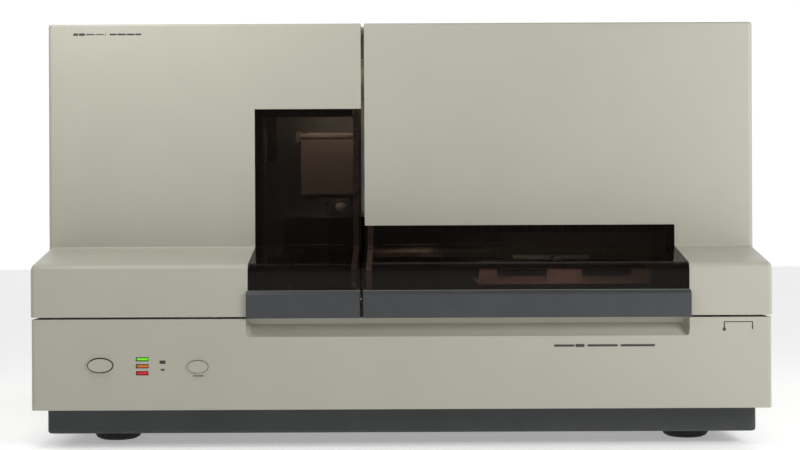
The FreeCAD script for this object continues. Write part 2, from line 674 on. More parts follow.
def fan_blades(label, x, z, radius, span):
    """A fan rotor: a hub with flat leaning blades rooted just inside its rim."""
    hub = rod(f"{label}_hub", "Y", (x, z), "hub_radius", span)
    root = "(hub_radius - seam)"
    blades = []
    for index in range(BLADES):
        angle = 2 * math.pi * (index + BLADE_PHASE) / BLADES
        blade = doc.addObject("Part::Box", f"{label}_blade")
        turn = FreeCAD.Rotation(FreeCAD.Vector(0, 1, 0), math.degrees(angle))
        lean = FreeCAD.Rotation(FreeCAD.Vector(1, 0, 0), BLADE_LEAN)
        blade.Placement = FreeCAD.Placement(FreeCAD.Vector(), turn.multiply(lean))
        blade.setExpression("Length", bound(f"({radius}) - {root}"))
        blade.setExpression("Width", bound(f"(({span[1]}) - ({span[0]})) / 2"))
        blade.setExpression("Height", bound("blade_thick"))
        place(blade, f"({x}) + {root} * ({math.cos(angle):.6f})", f"({span[0]}) + seam + 1",
              f"({z}) - {root} * ({math.sin(angle):.6f})")
        blades.append(blade)
    return fuse(f"{label}_rotor", hub, *blades)


def oven_hinge_halves():
    """The two fixed pins, each between a pair of ears at the oven's right edge."""
    halves = []
    for low, high in OVEN_HINGES:
        pin = rod("oven_pin_rod", "Z", (OVEN_PIN_X, OVEN_PIN_Y), "oven_pin",
                  (f"{low} - oven_door_gap", f"{high} + oven_door_gap"))
        bands = ((f"{low} - oven_door_gap - oven_hinge", f"{low} - oven_door_gap"),
                 (f"{high} + oven_door_gap", f"{high} + oven_door_gap + oven_hinge"))
        ears = [block("oven_ear", (f"{OVEN_PIN_X} - oven_pin", f"{OVEN_PIN_X} + oven_pin"),
                      (f"{OVEN_PIN_Y} - oven_pin", f"{OVEN_FRONT} + oven_wall"), band) for band in bands]
        base = block("oven_ear_base", (OVEN_RIGHT, f"{OVEN_PIN_X} + oven_pin"),
                     (OVEN_FRONT, f"{OVEN_FRONT} + oven_wall"), (bands[0][0], bands[1][1]))
        halves.append(fuse("oven_hinge_half", pin, base, *ears))
    return halves


def oven():
    """An insulated box of five panels, closed by a hinged door with a gasket and a turn latch."""
    x = ("oven_left", OVEN_RIGHT)
    y = (OVEN_FRONT, OVEN_BACK)
    inner_z = (f"{OVEN_LOW} + oven_wall", f"{OVEN_HIGH} - oven_wall")
    node(
        "oven_housing",
        block("oven_floor", x, y, (OVEN_LOW, inner_z[0])),
        block("oven_roof", x, y, (inner_z[1], OVEN_HIGH)),
        block("oven_left_wall", (x[0], "oven_left + oven_wall"), y, inner_z),
        block("oven_right_wall", (f"{OVEN_RIGHT} - oven_wall", x[1]), y, inner_z),
        block("oven_rear_wall", ("oven_left + oven_wall", f"{OVEN_RIGHT} - oven_wall"),
              (f"{OVEN_BACK} - oven_wall", OVEN_BACK), inner_z),
        block("oven_stay", (f"{OVEN_FAN_X} - hub_radius", f"{OVEN_FAN_X} + hub_radius"),
              (OVEN_BACK, BULKHEAD), (OVEN_LOW, OVEN_HIGH)),
        *oven_hinge_halves(),
    )
    lip = "gasket_wide"
    rim = cut("gasket_rim",
              block("gasket_outside", ("oven_left + 1", f"{OVEN_RIGHT} - 1"),
                    (f"{OVEN_FRONT} - gasket_thick", OVEN_FRONT), (f"{OVEN_LOW} + 1", f"{OVEN_HIGH} - 1")),
              block("gasket_inside", (f"oven_left + 1 + {lip}", f"{OVEN_RIGHT} - 1 - {lip}"),
                    (f"{OVEN_FRONT} - gasket_thick - 1", f"{OVEN_FRONT} + 1"),
                    (f"{OVEN_LOW} + 1 + {lip}", f"{OVEN_HIGH} - 1 - {lip}")))
    node("oven_gasket", rim)
    node("oven_heater", block("heater",
                              (f"{OVEN_FAN_X} - heater_wide / 2", f"{OVEN_FAN_X} + heater_wide / 2"),
                              (f"{OVEN_BACK} - oven_wall - heater_deep", f"{OVEN_BACK} - oven_wall"),
                              (inner_z[0], f"{inner_z[0]} + heater_high")))
    start = f"{OVEN_BACK} - oven_wall - oven_fan_out"
    span = (start, f"{start} + oven_fan_depth")
    rotor = fan_blades("oven_fan", OVEN_FAN_X, OVEN_FAN_Z, "oven_fan_radius", span)
    node("oven_fan", rotor)
    node("oven_fan_motor", rod("oven_motor", "Y", (OVEN_FAN_X, OVEN_FAN_Z), "hub_radius + fan_shaft",
                               (f"{span[1]} + oven_door_gap / 4", f"{OVEN_BACK} - oven_wall")))


def oven_door():
    """The oven's door, hung on two pins at its right edge, with the latch knob's bore."""
    panel = brick("oven_door_panel", ("oven_left", OVEN_RIGHT),
                  (OVEN_FACE, f"{OVEN_FACE} + oven_door_thick - oven_door_gap / 4"), (OVEN_LOW, OVEN_HIGH))
    rounded(panel, "edge_round / 2", lambda box: near(box.YMax, OVEN_FACE))
    arms, bores = [], []
    for low, high in OVEN_HINGES:
        arms.append(rod("oven_knuckle", "Z", (OVEN_PIN_X, OVEN_PIN_Y), "2 * oven_pin", (low, high)))
        bores.append(rod("oven_knuckle_bore", "Z", (OVEN_PIN_X, OVEN_PIN_Y), "oven_pin + pin_fit",
                         (f"{low} - 1", f"{high} + 1")))
    hole = rod("latch_bore", "Y", (f"oven_left + latch_in", f"{OVEN_LOW} + latch_z"), "fan_shaft + pin_fit",
               (f"{OVEN_FACE} - 1", f"{OVEN_FACE} + oven_door_thick + 1"))
    node("oven_door", cut("oven_door_body", fuse("oven_door_fused", panel, *arms), hole, *bores))
    knob_at = ("oven_left + latch_in", f"{OVEN_LOW} + latch_z")
    knob = rod("latch_knob", "Y", knob_at, "latch_radius",
               (f"{OVEN_FACE} - seam / 4 - latch_length", f"{OVEN_FACE} - seam / 4"))
    grip = block("latch_bar",
                 ("oven_left + latch_in - latch_radius / 3", "oven_left + latch_in + latch_radius / 3"),
                 (f"{OVEN_FACE} - seam / 4 - latch_length - fan_shaft", f"{OVEN_FACE} - seam - 1"),
                 (f"{OVEN_LOW} + latch_z - latch_radius", f"{OVEN_LOW} + latch_z + latch_radius"))
    shaft = rod("latch_shaft", "Y", knob_at, "fan_shaft",
                (f"{OVEN_FACE} - seam", f"{OVEN_FACE} + oven_door_thick"))
    node("oven_latch", fuse("latch_body", knob, grip, shaft))


# ---------------------------------------------------------------- capillaries, detection and pump

sizes(
    header_x=0, header_wide=63, header_deep=26, header_low=78, header_high=106, header_y=-140,
    electrode_radius=0.8, electrode_length=15, electrode_pitch=9,
    cell_left=-110, cell_right=-50, cell_low=124, cell_high=196, cell_front=54,
    cell_door_thick=6, cell_door_gap=8, cell_pin=2, cell_ear=4, ear_behind=10,
    holder_in=18, holder_base=25, holder_top=45, tab_in=22, tab_proud=7, tab_high=4,
    pump_x=-175, pump_wide=50, pump_deep=40, pump_front=40, pump_low=71, pump_high=201,
    piston_radius=4, piston_gap=0.1, piston_travel=25, piston_x=-182, piston_low=145, crosshead_low=243,
    crosshead_high=255, screw_x=-164, screw_radius=3, screw_top=281, pump_roof=6,
    crosshead_past=10, crosshead_half=9, motor_lap=30, feed_above=25,
    jar_shoulder=45, jar_neck_low=51, jar_neck=9.6,
    jar_radius=16, jar_height=60, jar_x=-235, jar_y=-150, anode_x=-128, anode_y=-205, anode_height=31,
    anode_radius=14, valve_block=24, valve_block_high=30, valve_radius=2.5, valve_rise=15, valve_travel=4,
    tube_radius=1.5, tube_bend=8,
)

CELL_FRONT = f"({DOOR_BACK} + cell_front)"
CELL_PIN_Z = f"({DECK_TOP} + cell_high - cell_pin * 3)"
CELL_PIN_Y = f"({CELL_FRONT} - cell_door_gap - cell_door_thick / 2)"
PUMP_FRONT = f"({DOOR_BACK} + pump_front)"
PUMP_BACK = f"({PUMP_FRONT} + pump_deep)"
PUMP_MID = f"({PUMP_FRONT} + pump_deep / 2)"
ELECTRODES = 8
HEADER_Y = f"({BULKHEAD} + header_y)"


def capillaries():
    """The array's header under the oven, its row of electrodes, and the cell in front of the detector."""
    x = ("header_x - header_wide / 2", "header_x + header_wide / 2")
    y = (f"{HEADER_Y} - header_deep / 2", f"{HEADER_Y} + header_deep / 2")
    comb_top = f"{DECK_TOP} + header_low + electrode_length"
    header = block("header", x, y, (comb_top, f"{DECK_TOP} + header_high"))
    stay = block("header_stay", (x[0], f"{x[0]} + skin"), y, (f"{DECK_TOP} + header_high", OVEN_LOW))
    other = block("header_stay_right", (f"{x[1]} - skin", x[1]), y, (f"{DECK_TOP} + header_high", OVEN_LOW))
    cell = block("cell_holder", ("cell_left + holder_in", "cell_right - holder_in"),
                 (f"{CELL_FRONT} - cell_door_gap / 2", CELL_FRONT),
                 (f"{DECK_TOP} + cell_low + holder_base", f"{DECK_TOP} + cell_low + holder_top"))
    comb = []
    for index in range(ELECTRODES):
        place_x = f"header_x + ({index} - {(ELECTRODES - 1) / 2}) * electrode_pitch"
        comb.append(rod("electrode", "Z", (place_x, HEADER_Y), "electrode_radius",
                        (f"{DECK_TOP} + header_low + seam * 3", comb_top)))
    node("capillary_array", header, stay, other, cell, *comb)


def detection():
    """The detector's housing on the bulkhead, with a small door hung from a pin at its top."""
    heights = (f"{DECK_TOP} + cell_low", f"{DECK_TOP} + cell_high")
    housing = block("detector", ("cell_left", "cell_right"), (CELL_FRONT, BULKHEAD), heights)
    ears = []
    for x in (("cell_left - cell_ear", "cell_left"), ("cell_right", "cell_right + cell_ear")):
        ears.append(block("cell_ear", x, (f"{CELL_PIN_Y} - 2 * cell_pin", f"{CELL_FRONT} + ear_behind"),
                          (f"{CELL_PIN_Z} - 3 * cell_pin", f"{CELL_PIN_Z} + 3 * cell_pin")))
    pin = rod("cell_pin_rod", "X", (CELL_PIN_Y, CELL_PIN_Z), "cell_pin", ("cell_left", "cell_right"))
    node("detection_housing", housing, pin, *ears)
    x = ("cell_left + 1", "cell_right - 1")
    thick = (f"{CELL_PIN_Y} - cell_door_thick / 2", f"{CELL_PIN_Y} + cell_door_thick / 2")
    plate = block("cell_door_plate", x, thick, (f"{heights[0]} + skin", CELL_PIN_Z))
    roll = rod("cell_door_roll", "X", (CELL_PIN_Y, CELL_PIN_Z), "2 * cell_pin", x)
    bore = rod("cell_door_bore", "X", (CELL_PIN_Y, CELL_PIN_Z), "cell_pin + pin_fit",
               (f"{x[0]} - 1", f"{x[1]} + 1"))
    tab = block("cell_door_tab", ("cell_left + tab_in", "cell_right - tab_in"),
                (f"{thick[0]} - tab_proud", f"{thick[0]} + 1"),
                (f"{heights[0]} + skin", f"{heights[0]} + skin + tab_high"))
    node("detection_door", cut("cell_door", fuse("cell_door_body", plate, roll, tab), bore))


def pump():
    """The polymer pump: a clear block, its piston and lead screw, a motor, jars, a valve and tubes."""
    x = ("pump_x - pump_wide / 2", "pump_x + pump_wide / 2")
    clear_block = block("clear_block", x, (PUMP_FRONT, PUMP_BACK),
                        (f"{DECK_TOP} + pump_low", f"{DECK_TOP} + pump_high"))
    bore = rod("piston_bore", "Z", ("piston_x", PUMP_MID), "piston_radius + piston_gap",
               (f"{DECK_TOP} + piston_low - piston_travel - skin", f"{DECK_TOP} + pump_high + 1"))
    node("pump_block", cut("pump_clear_block", clear_block, bore))
    roof = (f"{DECK_TOP} + screw_top", f"{DECK_TOP} + screw_top + pump_roof")
    motor = block("motor_case", x, (PUMP_BACK, BULKHEAD),
                  (f"{DECK_TOP} + pump_high - motor_lap", roof[1]))
    bridge = block("motor_bridge", x, (PUMP_FRONT, PUMP_BACK), roof)
    node("pump_motor", motor, bridge)
    piston = rod("piston_rod", "Z", ("piston_x", PUMP_MID), "piston_radius",
                 (f"{DECK_TOP} + piston_low", f"{DECK_TOP} + crosshead_high"))
    head = block("crosshead", ("piston_x - crosshead_past", "screw_x + crosshead_past"),
                 (f"{PUMP_MID} - crosshead_half", f"{PUMP_MID} + crosshead_half"),
                 (f"{DECK_TOP} + crosshead_low", f"{DECK_TOP} + crosshead_high"))
    nut = rod("nut_bore", "Z", ("screw_x", PUMP_MID), "screw_radius + pin_fit",
              (f"{DECK_TOP} + crosshead_low - 1", f"{DECK_TOP} + crosshead_high + 1"))
    node("pump_piston", cut("piston_body", fuse("piston_fused", piston, head), nut))
    node("pump_screw", rod("lead_screw", "Z", ("screw_x", PUMP_MID), "screw_radius",
                           (f"{DECK_TOP} + pump_high + hinge_gap", f"{roof[0]} - hinge_gap")))
    jar = [("0", "0"), ("jar_radius", "0"), ("jar_radius", "jar_shoulder"), ("jar_neck", "jar_neck_low"),
           ("jar_neck", "jar_height"), ("0", "jar_height")]
    bottle = turned("polymer_bottle", "Z", jar, ("jar_x", "jar_y"), DECK_TOP)
    anode = [("0", "0"), ("anode_radius", "0"), ("anode_radius", "anode_height"), ("0", "anode_height")]
    cup = turned("anode_jar", "Z", anode, ("anode_x", "anode_y"), DECK_TOP)
    node("pump_jars", bottle, cup)
    half = "valve_block / 2"
    top = f"{DECK_TOP} + anode_height + valve_block_high"
    lower = block("valve_body", (f"anode_x - {half}", f"anode_x + {half}"),
                  (f"anode_y - {half}", f"anode_y + {half}"), (f"{DECK_TOP} + anode_height", top))
    bore = rod("valve_bore", "Z", ("anode_x", "anode_y"), "valve_radius + pin_fit",
               (f"{top} - valve_rise", f"{top} + 1"))
    node("valve_block", cut("valve_bored", lower, bore))
    node("valve_pin", rod("valve_rod", "Z", ("anode_x", "anode_y"), "valve_radius",
                          (f"{top} - valve_rise + valve_travel + 1", f"{top} + valve_travel + seam")))


# ---------------------------------------------------------------- autosampler

sizes(
    rail_radius=4, rail_height=7, rail_front=90, rail_rear=170, rail_left=-132, rail_right_gap=14,
    rail_end=10, rail_end_high=13, carriage_left=106, carriage_wide=139, carriage_block=30,
    carriage_half=9, carriage_low=1, carriage_thick=4, guide_in=16, guide_wide=6, guide_high=6,
    guide_front=30, guide_rear=240, slider_half=7, slider_long=20, slide_fit=0.1, slider_gap=1,
    platform_thick=3, platform_in=6, tray_left=84, plate_wide=85.5, plate_long=127.8, plate_high=14.3,
    plate_margin=3, plate_gap=6, tray_front=7, tray_depth=165, tray_gap=2, tray_wall_high=15.5,
    tray_notch=54, tray_notch_low=1.5, pad_high=6, column_radius=4, column_in=28, column_back=15,
    column_high=50, lug_half=9, lug_high=16, well_radius=3.2, well_pitch=9, well_depth=10,
    trough_wide=40, trough_deep=20, trough_high=22, trough_lid=4, trough_gap=6,
)

RAIL_Z = f"({DECK_TOP} + rail_height)"
RAIL_RIGHT = f"({FRAME_IN} - rail_right_gap)"
CARRIAGE_RIGHT = "(carriage_left + carriage_wide)"
CARRIAGE_LOW = f"({DECK_TOP} + rail_end_high)"
CARRIAGE_TOP = f"({CARRIAGE_LOW} + carriage_thick)"
GUIDE_TOP = f"({CARRIAGE_TOP} + guide_high)"
PLATFORM_LOW = f"({GUIDE_TOP} + slider_gap)"
PLATFORM_TOP = f"({PLATFORM_LOW} + platform_thick)"
TRAY_LOW = f"({PLATFORM_TOP} + tray_gap)"
TRAY_FLOOR = f"({TRAY_LOW} + thin_sheet)"
TRAY_WIDE = "(2 * plate_wide + plate_gap + 2 * plate_margin)"
TRAY_RIGHT = f"(tray_left + {TRAY_WIDE})"
TRAY_FRONT = f"({DOOR_BACK} + tray_front)"
TRAY_BACK = f"({TRAY_FRONT} + tray_depth)"
COLUMN_Y = f"({TRAY_BACK} - column_back)"
PLATE_Y = f"({TRAY_FRONT} + plate_margin + skin)"
PLATE_Z = f"({TRAY_FLOOR} + pad_high)"
COLUMNS = ["(tray_left + column_in)", f"({TRAY_RIGHT} - column_in)"]
WELL_ROWS = 8
WELL_COLUMNS = 12


def rails():
    """Two round rails along X, each between two end blocks on the deck."""
    pieces = []
    for y in (f"({DOOR_BACK} + rail_front)", f"({DOOR_BACK} + rail_rear)"):
        pieces.append(rod("rail", "X", (y, RAIL_Z), "rail_radius", ("rail_left", RAIL_RIGHT)))
        for x in (("rail_left - rail_end", "rail_left"), (RAIL_RIGHT, f"{RAIL_RIGHT} + rail_end")):
            pieces.append(block("rail_end_block", x, (f"{y} - carriage_half", f"{y} + carriage_half"),
                                (DECK_TOP, f"{DECK_TOP} + rail_end_high")))
    node("x_rails", *pieces)


def x_carriage():
    """A plate on four bearing blocks that run on the rails, with two guides along Y on top."""
    rails_y = (f"({DOOR_BACK} + rail_front)", f"({DOOR_BACK} + rail_rear)")
    plate = block("carriage_plate", ("carriage_left", CARRIAGE_RIGHT),
                  (f"{rails_y[0]} - carriage_half", f"{rails_y[1]} + carriage_half"),
                  (CARRIAGE_LOW, CARRIAGE_TOP))
    blocks, bores, guides = [], [], []
    for y in rails_y:
        for x in (("carriage_left", "carriage_left + carriage_block"),
                  (f"{CARRIAGE_RIGHT} - carriage_block", CARRIAGE_RIGHT)):
            blocks.append(block("bearing_block", x, (f"{y} - carriage_half", f"{y} + carriage_half"),
                                (f"{DECK_TOP} + carriage_low", CARRIAGE_LOW)))
        bores.append(rod("bearing_bore", "X", (y, RAIL_Z), "rail_radius + pin_fit / 2",
                         ("carriage_left - 1", f"{CARRIAGE_RIGHT} + 1")))
    for x in ("carriage_left + guide_in", f"{CARRIAGE_RIGHT} - guide_in - guide_wide"):
        guides.append(block("guide", (x, f"{x} + guide_wide"),
                            (f"{DOOR_BACK} + guide_front", f"{DOOR_BACK} + guide_rear"),
                            (CARRIAGE_TOP, GUIDE_TOP)))
    node("x_carriage", cut("carriage", fuse("carriage_body", plate, *blocks), *bores), *guides)


def y_carriage():
    """A platform whose sliders straddle the guides, with two upright columns for the lift."""
    platform = block("platform", ("tray_left + platform_in", f"{TRAY_RIGHT} - platform_in"),
                     (f"{TRAY_FRONT} + platform_in", f"{TRAY_BACK} - seam"), (PLATFORM_LOW, PLATFORM_TOP))
    sliders, channels = [], []
    for x in ("carriage_left + guide_in + guide_wide / 2",
              f"{CARRIAGE_RIGHT} - guide_in - guide_wide / 2"):
        for y in (f"{DOOR_BACK} + guide_front + slider_long / 2", f"{TRAY_BACK} - 3 * slider_long"):
            sliders.append(block("slider", (f"{x} - slider_half", f"{x} + slider_half"),
                                 (y, f"{y} + slider_long"), (f"{CARRIAGE_TOP} + slider_gap", PLATFORM_LOW)))
        channels.append(block("slider_channel",
                              (f"{x} - guide_wide / 2 - slide_fit", f"{x} + guide_wide / 2 + slide_fit"),
                              (f"{DOOR_BACK}", f"{TRAY_BACK}"), (CARRIAGE_TOP, f"{GUIDE_TOP} + slide_fit")))
    columns = [rod("column", "Z", (x, COLUMN_Y), "column_radius",
                   (PLATFORM_TOP, f"{PLATFORM_TOP} + column_high"))
               for x in COLUMNS]
    node("y_carriage", cut("platform_cut", fuse("platform_body", platform, *sliders, *columns), *channels))


def sample_tray():
    """The lifting tray: a floor with plate pads, a notched front wall and two bored lugs."""
    floor = block("tray_floor", ("tray_left", TRAY_RIGHT), (TRAY_FRONT, TRAY_BACK), (TRAY_LOW, TRAY_FLOOR))
    wall = block("tray_wall", ("tray_left", TRAY_RIGHT), (TRAY_FRONT, f"{TRAY_FRONT} + skin"),
                 (TRAY_LOW, f"{TRAY_LOW} + tray_wall_high"))
    pads, notches = [], []
    for index in range(2):
        x = f"(tray_left + plate_margin + {index} * (plate_wide + plate_gap))"
        pads.append(block("plate_pad", (f"{x} + plate_margin", f"{x} + plate_wide - plate_margin"),
                          (f"{PLATE_Y} + plate_margin", f"{PLATE_Y} + plate_long - plate_margin"),
                          (TRAY_FLOOR, PLATE_Z)))
        middle = f"({x} + plate_wide / 2)"
        notches.append(block("tray_notch_cut", (f"{middle} - tray_notch / 2", f"{middle} + tray_notch / 2"),
                             (f"{TRAY_FRONT} - 1", f"{TRAY_FRONT} + skin"),
                             (f"{TRAY_FLOOR} + tray_notch_low", f"{TRAY_LOW} + tray_wall_high + 1")))
    lugs = [block("tray_lug", (f"{x} - lug_half", f"{x} + lug_half"),
                  (f"{COLUMN_Y} - lug_half", f"{COLUMN_Y} + lug_half"),
                  (TRAY_LOW, f"{TRAY_FLOOR} + lug_high"))
            for x in COLUMNS]
    bores = [rod("lug_bore", "Z", (x, COLUMN_Y), "column_radius + pin_fit",
                 (f"{TRAY_LOW} - 1", f"{TRAY_FLOOR} + lug_high + 1")) for x in COLUMNS]
    node("sample_tray", cut("tray", fuse("tray_body", floor, wall, *pads, *lugs), *notches, *bores))


def sample_plates():
    """Two well plates, side by side on the tray."""
    plates = []
    for index in range(2):
        x = f"(tray_left + plate_margin + {index} * (plate_wide + plate_gap))"
        plate = block("well_plate", (x, f"{x} + plate_wide"), (PLATE_Y, f"{PLATE_Y} + plate_long"),
                      (PLATE_Z, f"{PLATE_Z} + plate_high"))
        wells = []
        for row in range(WELL_ROWS):
            for column in range(WELL_COLUMNS):
                spot = (f"{x} + plate_wide / 2 + ({row} - {(WELL_ROWS - 1) / 2}) * well_pitch",
                        f"{PLATE_Y} + plate_long / 2 + ({column} - {(WELL_COLUMNS - 1) / 2}) * well_pitch")
                wells.append(rod("well", "Z", spot, "well_radius",
                                 (f"{PLATE_Z} + plate_high - well_depth", f"{PLATE_Z} + plate_high + 1")))
        group = doc.addObject("Part::Compound", "wells")
        group.Links = wells
        plates.append(cut("plate", plate, group))
    node("sample_plates", *plates)


def reservoirs():
    """Two lidded buffer troughs behind the plates."""
    pieces = []
    middle = f"((tray_left + {TRAY_RIGHT}) / 2)"
    for x in (f"{middle} - trough_gap / 2 - trough_wide", f"{middle} + trough_gap / 2"):
        y = (f"{COLUMN_Y} - trough_deep / 2", f"{COLUMN_Y} + trough_deep / 2")
        top = f"{TRAY_FLOOR} + trough_high"
        pieces.append(block("trough", (x, f"{x} + trough_wide"), y, (TRAY_FLOOR, top)))
        pieces.append(block("trough_cover", (f"{x} - 1", f"{x} + trough_wide + 1"),
                            (f"{y[0]} - 1", f"{y[1]} + 1"), (top, f"{top} + trough_lid")))
    node("reservoirs", *pieces)


# ---------------------------------------------------------------- polymer tubes

def tube(label, corners, radius, bend):
    """A tube along straight runs joined by tangent arcs."""
    points = [FreeCAD.Vector(*[value(text) for text in corner]) for corner in corners]
    edges = []
    start = points[0]
    for before, corner, after in zip(points, points[1:], points[2:]):
        back = (before - corner).normalize()
        on = (after - corner).normalize()
        half_turn = (FreeCAD.Vector() - back).getAngle(on) / 2
        reach = value(bend) * abs(math.tan(half_turn))
        first, last = corner + back * reach, corner + on * reach
        middle_way = (back + on).normalize()
        centre = corner + middle_way * (value(bend) / math.cos(half_turn))
        middle = centre - middle_way * value(bend)
        edges.append(Part.LineSegment(start, first).toShape())
        edges.append(Part.Arc(first, middle, last).toShape())
        start = last
    edges.append(Part.LineSegment(start, points[-1]).toShape())
    path = Part.Wire(edges)
    along = points[1] - points[0]
    ring = Part.Wire(Part.makeCircle(value(radius), points[0], along))
    item = doc.addObject("Part::Feature", label)
    item.Shape = path.makePipeShell([ring], True, True)
    return item



def polymer_tubes():
    """One tube from the bottle to the pump block, one from the pump block to the valve block."""
    bottle_top = f"{DECK_TOP} + jar_height"
    side = f"{DECK_TOP} + pump_low + feed_above"
    feed = [("jar_x", "jar_y", bottle_top), ("jar_x", "jar_y", side), ("jar_x", PUMP_MID, side),
            ("pump_x - pump_wide / 2", PUMP_MID, side)]
    level = f"{DECK_TOP} + anode_height + valve_block_high / 2"
    drop = [("pump_x", PUMP_MID, f"{DECK_TOP} + pump_low"), ("pump_x", PUMP_MID, level),
            ("pump_x", "anode_y", level), ("anode_x - valve_block / 2", "anode_y", level)]
    node("polymer_tubes", tube("feed_tube", feed, "tube_radius", "tube_bend"),
         tube("drop_tube", drop, "tube_radius", "tube_bend"))


# ---------------------------------------------------------------- rear bay

sizes(
    shelf_low=161, shelf_thick=4, shelf_depth=230, shelf_right=-30, laser_left=-330, laser_wide=100,
    laser_deep=170, laser_high=56, laser_back=40, spectro_left=-200, spectro_wide=140, spectro_deep=160,
    spectro_high=76, supply_left=-335, supply_wide=200, supply_deep=150, supply_high=62, supply_gap=45,
    board_left=20, board_wide=280, board_deep=150, board_gap=80, board_lift=6, board_thick=1.6,
    standoff=3, sink_wide=60, sink_deep=40, sink_high=20, sink_in=40, sink_pitch=120, sink_behind=50,
    small_board_left=45, small_board_wide=140, switch_lip=1.5,
    small_board_low=62, small_board_high=42, small_board_back=10, fan_square=92, fan_deep=25,
    fan_radius=38, fan_rotor_deep=16, fan_rotor_gap=6, strut=6, guard_wire=1.25, guard_ring=11,
    inlet_deep=25, inlet_pocket_wide=24, inlet_pocket_high=17, inlet_pocket_deep=18, inlet_flange=3,
    inlet_pin_long=12, inlet_pin_wide=2, inlet_pin_high=4, inlet_pin_pitch=7, rocker_wide=11.4,
    rocker_half=9, rocker_front=5, rocker_dip=2.5, rocker_back=6, rocker_in=3, rocker_tilt=8,
    port_pocket=3, port_deep=12, rear_screw=4, rear_screw_head=2, rear_screw_in=10,
)

SHELF_TOP = f"({DECK_TOP} + shelf_low + shelf_thick)"
BAY_BACK = f"({BULKHEAD} + thin_sheet)"
FAN_BACK = f"({REAR} - skin)"
GUARD_RINGS = 4
HEAT_SINKS = 2
LONG_EDGE = 50
REAR_SCREWS = [(side, height)
               for side in (f"(rear_screw_in + skin - {HALF})", f"({HALF} - skin - rear_screw_in)")
               for height in (f"{FLOOR_TOP} + rear_screw_in", f"({FLOOR_TOP} + {COVER_TOP}) / 2",
                              f"{COVER_TOP} - rear_screw_in")]


def long_top_edge(box):
    """Whether an edge's box belongs to a long edge on top of a case that stands on the shelf."""
    return box.YLength > LONG_EDGE and box.ZMin > value(SHELF_TOP) + 1


def optics():
    """A shelf behind the bulkhead with the laser head and the spectrograph on it."""
    node("optics_shelf", block("shelf", (f"-{FRAME_IN}", "shelf_right"),
                               (BAY_BACK, f"{BAY_BACK} + shelf_depth"),
                               (f"{SHELF_TOP} - shelf_thick", SHELF_TOP)))
    laser = brick("laser_case", ("laser_left", "laser_left + laser_wide"),
                  (f"{BAY_BACK} + laser_back", f"{BAY_BACK} + laser_back + laser_deep"),
                  (SHELF_TOP, f"{SHELF_TOP} + laser_high"))
    node("laser_head", rounded(laser, "edge_round", long_top_edge))
    spectro = brick("spectro_case", ("spectro_left", "spectro_left + spectro_wide"),
                    (BAY_BACK, f"{BAY_BACK} + spectro_deep"), (SHELF_TOP, f"{SHELF_TOP} + spectro_high"))
    node("spectrograph", rounded(spectro, "edge_round", long_top_edge))


def electronics():
    """The power supply, the main board on standoffs, and the small board behind the buttons."""
    back = f"{REAR} - skin - supply_gap"
    node("power_supply", block("supply", ("supply_left", "supply_left + supply_wide"),
                               (f"{back} - supply_deep", back), (FLOOR_TOP, f"{FLOOR_TOP} + supply_high")))
    rear = f"({REAR} - board_gap)"
    low = f"({FLOOR_TOP} + board_lift)"
    pieces = [block("main_board", ("board_left", "board_left + board_wide"), (f"{rear} - board_deep", rear),
                    (low, f"{low} + board_thick"))]
    for x in ("board_left + 2 * standoff", "board_left + board_wide - 2 * standoff"):
        for y in (f"{rear} - board_deep + 2 * standoff", f"{rear} - 2 * standoff"):
            pieces.append(rod("board_standoff", "Z", (x, y), "standoff", (FLOOR_TOP, low)))
    for index in range(HEAT_SINKS):
        x = f"board_left + sink_in + {index} * sink_pitch"
        pieces.append(block("heat_sink", (x, f"{x} + sink_wide"),
                            (f"{rear} - sink_deep - sink_behind", f"{rear} - sink_behind"),
                            (f"{low} + board_thick", f"{low} + board_thick + sink_high")))
    left = f"(small_board_left - {HALF})"
    front = f"({PANEL_INSIDE} + small_board_back)"
    pieces.append(block("button_board", (left, f"{left} + small_board_wide"),
                        (front, f"{front} + board_thick"),
                        ("small_board_low", "small_board_low + small_board_high")))
    for x in (f"{left} + 2 * standoff", f"{left} + small_board_wide - 2 * standoff"):
        for z in ("small_board_low + 2 * standoff", "small_board_low + small_board_high - 2 * standoff"):
            pieces.append(rod("panel_standoff", "Y", (x, z), "standoff", (PANEL_INSIDE, front)))
    node("circuit_boards", *pieces)


